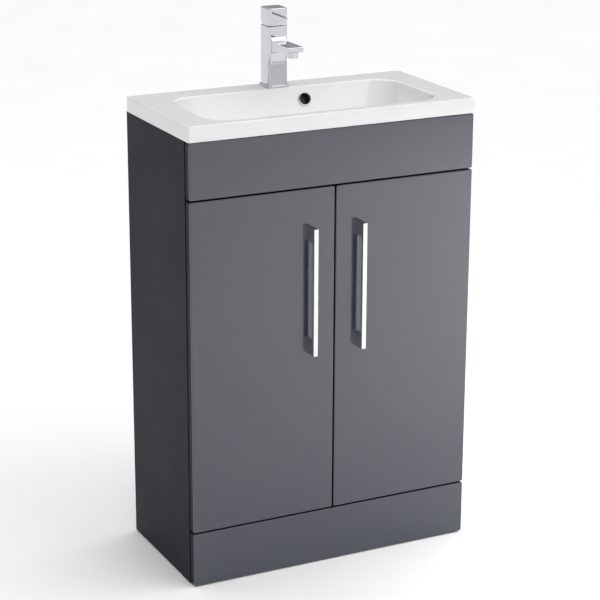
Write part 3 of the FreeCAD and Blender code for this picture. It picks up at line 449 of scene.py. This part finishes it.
def cylinder_tool(start, direction, radius, length):
    """A cylinder for cutting, from its start point along a direction."""
    made = bmesh.new()
    bmesh.ops.create_cone(made, cap_ends=True, segments=TOOL_SEGMENTS, radius1=radius, radius2=radius,
                          depth=length)
    turn = direction.to_track_quat("Z", "Y").to_matrix().to_4x4()
    middle = Matrix.Translation(start + direction * (length / 2))
    bmesh.ops.transform(made, matrix=middle @ turn, verts=made.verts)
    mesh = bpy.data.meshes.new("tool")
    made.to_mesh(mesh)
    made.free()
    tool = bpy.data.objects.new("tool", mesh)
    bpy.context.scene.collection.objects.link(tool)
    return tool


def drill(piece, tools):
    """Cuts the tools out of the piece's mesh for good, and deletes them."""
    for tool in tools:
        hole = piece.modifiers.new("hole", "BOOLEAN")
        hole.operation = "DIFFERENCE"
        hole.solver = "EXACT"
        hole.object = tool
        piece.modifiers.move(len(piece.modifiers) - 1, 0)
    weighted = piece.modifiers["even_shading"]
    weighted.show_viewport = False
    bpy.context.view_layer.update()
    graph = bpy.context.evaluated_depsgraph_get()
    whole = bpy.data.meshes.new_from_object(piece.evaluated_get(graph))
    whole.name = piece.name
    for modifier in [m for m in piece.modifiers if m.type == "BOOLEAN"]:
        piece.modifiers.remove(modifier)
    piece.data = whole
    whole.set_sharp_from_angle(angle=SHARP)
    weighted.show_viewport = True
    for tool in tools:
        bpy.data.objects.remove(tool)


# ---------------------------------------------------------------- fronts
FRONT_ROUND, FRONT_ROUND_STEPS = 2 * MM, 8
FRONT_CORNER, FRONT_CORNER_STEPS = 3 * MM, 6
GLOSS_DEEP = 3 * MM
BACK_EASE, BACK_EASE_MIDDLE = 0.5 * MM, 0.15 * MM
CUP_INBOARD, CUP_TAB = 21.5 * MM, 28 * MM
CUP_BORE, CUP_DEEP, CUP_TOOL = 17.55 * MM, 12.05 * MM, 20 * MM


def front_panel(node, body, name):
    """A lacquered front: gloss on its face and front edges; its other edges and back wear the darker, satin
    side lacquer, as painted shade.
    """
    low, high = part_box(node)
    turns = [math.pi / 2 * i / FRONT_ROUND_STEPS for i in range(FRONT_ROUND_STEPS + 1)]
    profile = [(FRONT_ROUND * (1 - math.sin(t)), low.y + FRONT_ROUND * (1 - math.cos(t))) for t in turns]
    profile.append((0, low.y + GLOSS_DEEP))
    glossy_rows = len(profile)
    profile += [(0, high.y - BACK_EASE), (BACK_EASE_MIDDLE, high.y - BACK_EASE_MIDDLE),
                (BACK_EASE, high.y)]
    rings = []
    for inset, y in profile:
        outline = round_rectangle(low.x + inset, high.x - inset, low.z + inset, high.z - inset,
                                  FRONT_CORNER - inset, FRONT_CORNER_STEPS)
        rings.append([(x, y, z) for x, z in outline])
    made = bmesh.new()
    rows = loft(made, rings)
    glossy = {vert for row in rows[:glossy_rows] for vert in row}
    for face in made.faces:
        face.material_index = 0 if set(face.verts) <= glossy else 1
    piece = mesh_object(name, made, "gloss_lacquer", body, [node])
    # the edges and back wear the darker lacquer: painted shade where the side edges would catch light
    piece.data.materials.append(MATERIALS["painted_shade_lacquer"])
    return piece


def hinge_bores(word):
    """The tools for the two round holes in a door's back that take the hinge cups."""
    low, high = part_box(f"{word}_hinge_cups")
    door_low, door_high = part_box(f"{word}_door")
    if word == "left":
        x = door_low.x - REVEAL + CUP_INBOARD
    else:
        x = door_high.x + REVEAL - CUP_INBOARD
    return [cylinder_tool(Vector((x, door_high.y - CUP_DEEP, z)), BACKWARD, CUP_BORE, CUP_TOOL)
            for z in (low.z + CUP_TAB, high.z - CUP_TAB)]


for word in ("left", "right"):
    drill(front_panel(f"{word}_door", f"{word}_door_leaf", f"{word}_door_front"), hinge_bores(word))
front_panel("fascia_panel", "cabinet", "fascia_front")
front_panel("plinth_panel", "cabinet", "plinth_front")


# ---------------------------------------------------------------- basin
BOWL_HALF = 244 * MM
BOWL_FRONT, BOWL_BACK = -116 * MM, 104 * MM
BOWL_CORNER = 55 * MM
BOWL_SLOPE = 36 * MM
RIM_ROUND, FLOOR_ROUND = 4 * MM, 24 * MM
SLAB_ROUND, SLAB_CORNER, SLAB_EASE = 2.5 * MM, 3 * MM, 0.8 * MM
BASIN_WALL = 9 * MM
SHELL_CORNER, SHELL_ROUND = 6 * MM, 28 * MM
SHELL_HEAD = 15 * MM
SHELL_WIDER = 3.3 * MM
WASTE_HOLE, WASTE_EASE = 22 * MM, 1 * MM
BRIM_BORDER = 1.5 * MM
FLOOR_LEVEL_R, UNDERSIDE_R = 38 * MM, 38 * MM
TAP_HOLE = 17.5 * MM
OVERFLOW_HOLE = 12.5 * MM
# each drilling tool: how far it starts outside, and its length
TAP_TOOL, OVERFLOW_TOOL = (5 * MM, 50 * MM), (20 * MM, 36 * MM)
NEARLY_ROUND = 0.985
CORNER_STEPS, ARC_STEPS, WALL_STEPS = 16, 12, 6


def tangent_arc(radius, corner, lean, reverse):
    """The (inset, drop) points of a round between a level line and a wall that leans inward."""
    turn = math.pi / 2 - lean
    reach = radius * math.tan(turn / 2)
    points = []
    for i in range(ARC_STEPS + 1):
        swing = turn * i / ARC_STEPS
        if reverse:
            angle = math.pi + lean + swing
            centre = (corner[0] + reach, corner[1] + radius)
        else:
            angle = math.pi / 2 - swing
            centre = (corner[0] - reach, corner[1] - radius)
        points.append((centre[0] + radius * math.cos(angle), centre[1] + radius * math.sin(angle)))
    return points


def bowl_ring(inset, z, shell_corner=0.0):
    """One level line of the bowl, set in from its brim by the given amount."""
    beyond = max(0.0, inset - BOWL_SLOPE)
    radius = BOWL_CORNER + shell_corner - min(0.0, inset) - beyond
    outline = round_rectangle(-BOWL_HALF + inset, BOWL_HALF - inset, BOWL_FRONT + inset,
                              BOWL_BACK - inset, radius, CORNER_STEPS)
    return raised(outline, z)


def waste_ring(radius, z):
    """A level circle round the waste, with as many points as the bowl's lines."""
    low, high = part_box("waste_body")
    x, y = (low.x + high.x) / 2, (low.y + high.y) / 2
    outline = round_rectangle(x - radius, x + radius, y - radius, y + radius, NEARLY_ROUND * radius,
                              CORNER_STEPS)
    return raised(outline, z)


def overflow_axis():
    """The middle of the overflow's mouth and the direction in which it runs into the wall."""
    low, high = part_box("overflow_ring")
    basin_low, basin_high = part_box("basin")
    deep = basin_high.z - basin_low.z - BASIN_WALL
    lean = math.atan2(BOWL_SLOPE, deep)
    inward = Vector((0, math.cos(lean), -math.sin(lean)))
    return (low + high) / 2, inward


def basin():
    """A slim slab with a crisp rim, and the bowl hanging below it, as one closed glazed shell."""
    low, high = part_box("basin")
    top, underside = high.z, low.z
    slab_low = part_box("fascia_panel")[1].z + REVEAL
    floor = underside + BASIN_WALL
    deep = top - floor
    inner_lean = math.atan2(BOWL_SLOPE, deep)
    rings = []

    def slab_ring(inset, z):
        outline = round_rectangle(low.x + inset, high.x - inset, low.y + inset, high.y - inset,
                                  SLAB_CORNER, CORNER_STEPS)
        rings.append(raised(outline, z))

    for inset, drop in arc(SLAB_EASE, SLAB_EASE, SLAB_EASE, 270, 180, 3):
        slab_ring(inset, slab_low + drop)
    for inset, drop in arc(SLAB_ROUND, -SLAB_ROUND, SLAB_ROUND, 180, 90, 8):
        slab_ring(inset, top + drop)
    rim = tangent_arc(RIM_ROUND, (0, 0), inner_lean, False)
    rings.append(bowl_ring(rim[0][0] - BRIM_BORDER, top))
    for inset, drop in rim:
        rings.append(bowl_ring(inset, top + drop))
    round_floor = tangent_arc(FLOOR_ROUND, (BOWL_SLOPE, -deep), inner_lean, True)
    start, end = rim[-1], round_floor[0]
    for i in range(1, WALL_STEPS):
        share = i / WALL_STEPS
        inset = start[0] + (end[0] - start[0]) * share
        rings.append(bowl_ring(inset, top + start[1] + (end[1] - start[1]) * share))
    for inset, drop in round_floor:
        rings.append(bowl_ring(inset, top + drop))
    for radius, z in ((FLOOR_LEVEL_R, floor), (WASTE_HOLE + WASTE_EASE, floor),
                      (WASTE_HOLE, floor - WASTE_EASE), (WASTE_HOLE, underside), (UNDERSIDE_R, underside)):
        rings.append(waste_ring(radius, z))
    shell_inset = BOWL_SLOPE - BASIN_WALL
    outer_lean = math.atan2(shell_inset + SHELL_WIDER, deep + BASIN_WALL - SHELL_HEAD)
    round_shell = tangent_arc(SHELL_ROUND, (shell_inset, -deep - BASIN_WALL), outer_lean, True)
    for inset, drop in reversed(round_shell):
        rings.append(bowl_ring(inset, top + drop, SHELL_CORNER))
    shell_top = shell_inset - (slab_low - underside) * math.tan(outer_lean)
    rings.append(bowl_ring(shell_top, slab_low, SHELL_CORNER))
    made = bmesh.new()
    loft(made, rings, closed=True)
    piece = mesh_object("glazed_basin", made, "basin_glaze", "cabinet", ["basin"])
    tap_low, tap_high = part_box("tap_base_ring")
    tap_middle = (tap_low + tap_high) / 2
    mouth, inward = overflow_axis()
    below_tap = Vector((tap_middle.x, tap_middle.y, slab_low - TAP_TOOL[0]))
    before_mouth = mouth - inward * OVERFLOW_TOOL[0]
    drill(piece, [cylinder_tool(below_tap, UP, TAP_HOLE, TAP_TOOL[1]),
                  cylinder_tool(before_mouth, inward, OVERFLOW_HOLE, OVERFLOW_TOOL[1])])


basin()


def rings_along(start, direction, profile, count=48):
    """The circles of a turned piece about any axis, from (distance along it, radius) pairs."""
    turn = direction.to_track_quat("Z", "Y").to_matrix()
    rings = []
    for distance, radius in profile:
        ring = ring_of(0, 0, radius, distance, count)
        rings.append([start + turn @ Vector(point) for point in ring])
    return rings


ROSE_TALL, ROSE_ROLL, ROSE_STEPS = 2.2 * MM, 1.2 * MM, 8
ROSE_LIP, SLEEVE_IN, SLEEVE_OUT, SLEEVE_LONG = 2.2 * MM, 2.7 * MM, 1.6 * MM, 11 * MM
ROSE_STANDOFF = 7.1 * MM
CUP_START, CUP_BACK, CUP_FLOOR = 2 * MM, 14 * MM, 1 * MM


def overflow():
    """The overflow's chrome rose with a rolled edge, and a dark cup that closes the hole behind it: it
    stands for the overflow's channel, and its black paints the shade inside the throat.
    """
    mouth, inward = overflow_axis()
    ring_low, ring_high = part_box("overflow_ring")
    half = (ring_high.x - ring_low.x) / 2
    face = mouth - inward * ROSE_STANDOFF
    turns = [-math.pi * i / (2 * ROSE_STEPS) for i in range(ROSE_STEPS + 1)]
    profile = [(ROSE_TALL, half)]
    profile += [(ROSE_ROLL * (1 + math.sin(t)), half - ROSE_ROLL * (1 - math.cos(t))) for t in turns]
    profile += [(0.4 * MM, half - ROSE_LIP), (1.2 * MM, half - SLEEVE_IN), (SLEEVE_LONG, half - SLEEVE_IN),
                (SLEEVE_LONG, half - SLEEVE_OUT), (ROSE_TALL, half - SLEEVE_OUT)]
    made = bmesh.new()
    loft(made, rings_along(face, inward, profile), closed=True)
    mesh_object("overflow_rose", made, "chrome", "cabinet", ["overflow_ring"])

    # the black cup: the overflow's channel, coloured black as painted shade in the throat
    tube = half - 2.75 * MM
    profile = [(CUP_BACK, 1 * MM), (CUP_BACK, tube - 1.4 * MM), (CUP_START, tube - 0.8 * MM),
               (CUP_START, tube), (CUP_BACK, tube), (CUP_BACK + CUP_FLOOR, tube - 1 * MM),
               (CUP_BACK + CUP_FLOOR, 1 * MM)]
    made = bmesh.new()
    loft(made, rings_along(face, inward, profile))
    mesh_object("overflow_channel_and_shade", made, "black_plastic", "cabinet")


overflow()

# ---------------------------------------------------------------- tap
COLUMN_CORNER, COLUMN_TOP, COLUMN_FOOT = 7 * MM, 1.2 * MM, 0.3 * MM
SPOUT_HALF, SPOUT_ABOVE_AERATOR, SPOUT_EDGE = 16 * MM, 11 * MM, 1.3 * MM
FLARE = 11 * MM
LIP_ROUND, LIP_TALL = 1.5 * MM, 8.5 * MM
# the spout's underside from the lip back: distance from the tip, then from the column, and drop
UNDER_TIP = [(2 * MM, 10 * MM), (10 * MM, 12 * MM)]
UNDER_ROOT = [(26 * MM, 16.5 * MM), (12 * MM, 19 * MM), (3 * MM, 21.5 * MM), (-6 * MM, 26 * MM)]


def tap_body():
    """The square column, and the flat spout that grows out of it with a hollow flare."""
    low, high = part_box("tap_body")
    half = (high.x - low.x) / 2
    back, tip = high.y, low.y
    front = back - 2 * half
    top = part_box("spout_aerator")[1].z + SPOUT_ABOVE_AERATOR
    made = bmesh.new()
    rounded_block(made, -half, half, front, back, low.z, high.z, COLUMN_CORNER, COLUMN_TOP, COLUMN_FOOT)
    outline = [(front + 6 * MM, top + FLARE)]
    outline += arc(front - FLARE + 0.5 * MM, top + FLARE, FLARE, 0, -90, 12)
    outline += [(tip + LIP_ROUND, top)]
    outline += arc(tip + LIP_ROUND, top - LIP_ROUND, LIP_ROUND, 90, 180, 5)
    outline += [(tip, top - LIP_TALL)]
    outline += [(tip + along, top - drop) for along, drop in UNDER_TIP]
    outline += [(front - along, top - drop) for along, drop in UNDER_ROOT]
    prism_x(made, outline, -SPOUT_HALF, SPOUT_HALF)
    mesh_object("tap_column_and_spout", made, "chrome", "cabinet", ["tap_body"], SPOUT_EDGE)


tap_body()


COLLAR_WALL = 2 * MM
GRID_RINGS, GRID_BARS, GRID_RING_WIDE, GRID_BAR_WIDE = 5, 4, 0.7 * MM, 0.6 * MM
GRID_DEEP, GRID_TALL, BAR_TALL = 3 * MM, 1.2 * MM, 1 * MM


def aerator():
    """A smooth collar under the spout with a grid of fine rings and bars in its mouth."""
    low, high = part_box("spout_aerator")
    x, y = (low.x + high.x) / 2, (low.y + high.y) / 2
    radius = (high.x - low.x) / 2
    made = bmesh.new()
    profile = [(radius - COLLAR_WALL, low.z + 3 * MM), (radius - 1.8 * MM, low.z + 0.3 * MM),
               (radius - 1.2 * MM, low.z), (radius - 0.6 * MM, low.z + 0.2 * MM),
               (radius - 0.2 * MM, low.z + 0.8 * MM), (radius, low.z + 3 * MM),
               (radius, high.z + 1 * MM), (radius - COLLAR_WALL, high.z + 1 * MM)]
    lathe(made, x, y, profile, closed=True)
    mesh_object("aerator_collar", made, "chrome", "cabinet", ["spout_aerator"])

    made = bmesh.new()
    mouth = radius - COLLAR_WALL + 0.1 * MM
    middle = low.z + GRID_DEEP
    z0, z1 = middle - GRID_TALL / 2, middle + GRID_TALL / 2
    for i in range(GRID_RINGS):
        outer = mouth * (i + 1) / GRID_RINGS
        inner = outer - GRID_RING_WIDE
        lathe(made, x, y, [(inner, z0), (outer, z0), (outer, z1), (inner, z1)], closed=True, count=48)
    for i in range(GRID_BARS):
        swing = Matrix.Rotation(math.pi * i / GRID_BARS, 4, "Z")
        bar = bmesh.ops.create_cube(made, size=1)["verts"]
        bmesh.ops.scale(made, vec=(2 * mouth, GRID_BAR_WIDE, BAR_TALL), verts=bar)
        bmesh.ops.rotate(made, matrix=swing, verts=bar)
        bmesh.ops.translate(made, vec=(x, y, middle), verts=bar)
    mesh_object("aerator_grid", made, "black_plastic", "cabinet")


aerator()


STEM_R, STEM_EASE = 4 * MM, 0.6 * MM
DISC_THICK, DISC_ROUND = 4 * MM, 1.4 * MM
DOME_SHARES = (0.15, 0.35, 0.55, 0.75, 0.9, 0.985)


def plug():
    """The waste's plug: a shallow dome with a rolled edge on its guide stem."""
    low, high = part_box("waste_plug")
    x, y = (low.x + high.x) / 2, (low.y + high.y) / 2
    under = high.z - DISC_THICK
    flat = (high.x - low.x) / 2 - DISC_ROUND
    shoulder = under + 2 * DISC_ROUND
    crown = high.z - shoulder
    profile = [(0.4 * MM, low.z), (STEM_R - STEM_EASE, low.z), (STEM_R, low.z + STEM_EASE), (STEM_R, under),
               (flat, under)]
    profile += [(flat + across, under + DISC_ROUND + rise)
                for across, rise in arc(0, 0, DISC_ROUND, -90, 90, 10)[1:-1]]
    profile += [(flat * (1 - share), shoulder + crown * (1 - (1 - share) ** 2)) for share in DOME_SHARES]
    made = bmesh.new()
    lathe(made, x, y, profile)
    mesh_object("plug_dome", made, "chrome", "waste_plug", ["waste_plug"])


plug()
